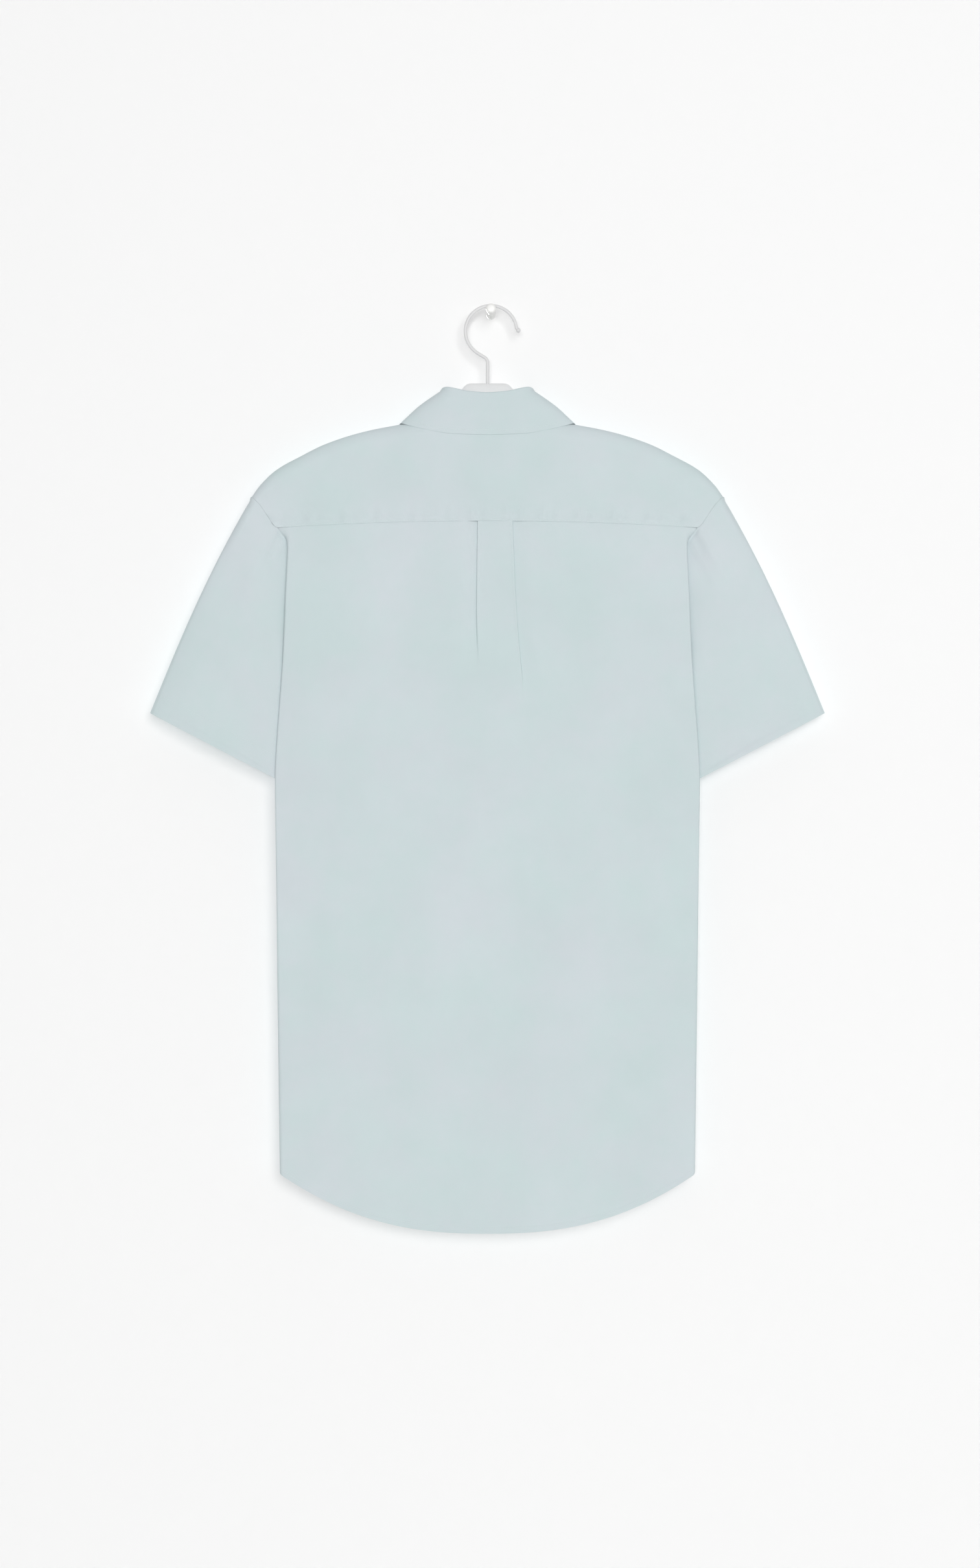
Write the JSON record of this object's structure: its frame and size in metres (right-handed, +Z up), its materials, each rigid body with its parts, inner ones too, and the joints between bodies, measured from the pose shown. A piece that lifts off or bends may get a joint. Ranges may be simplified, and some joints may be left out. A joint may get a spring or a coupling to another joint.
{
  "type": "button-up shirt on a hanger hung from a round wall peg",
  "caption": "Short-sleeved button-up shirt with collar, back yoke, box pleat and curved hem, on a plain hanger hung from a wall peg.",
  "frame": {"origin": "centre of the peg's flat wall face", "axes": "+Z up, +Y into the wall, +X to the right of someone who looks at the wall. The shirt's back faces -Y and its buttoned front faces +Y."},
  "size_m": [0.68, 0.036, 0.9347],
  "materials": {
    "cotton_poplin": "matte",
    "button_plastic": "satin",
    "hanger_plastic": "satin",
    "hook_paint": "satin",
    "peg_paint": "satin"
  },
  "bodies": {
    "root": {"yoke": "cotton_poplin", "back": "cotton_poplin", "front_left": "cotton_poplin", "front_right": "cotton_poplin", "placket": "cotton_poplin", "collar_stand": "cotton_poplin", "collar": "cotton_poplin", "sleeve_left": "cotton_poplin", "sleeve_right": "cotton_poplin", "button_1": "button_plastic", "button_2": "button_plastic", "button_3": "button_plastic", "button_4": "button_plastic", "button_5": "button_plastic", "button_6": "button_plastic", "button_7": "button_plastic", "hanger": "hanger_plastic", "hook": "hook_paint", "wall_peg": "peg_paint"}
  },
  "joints": []
}
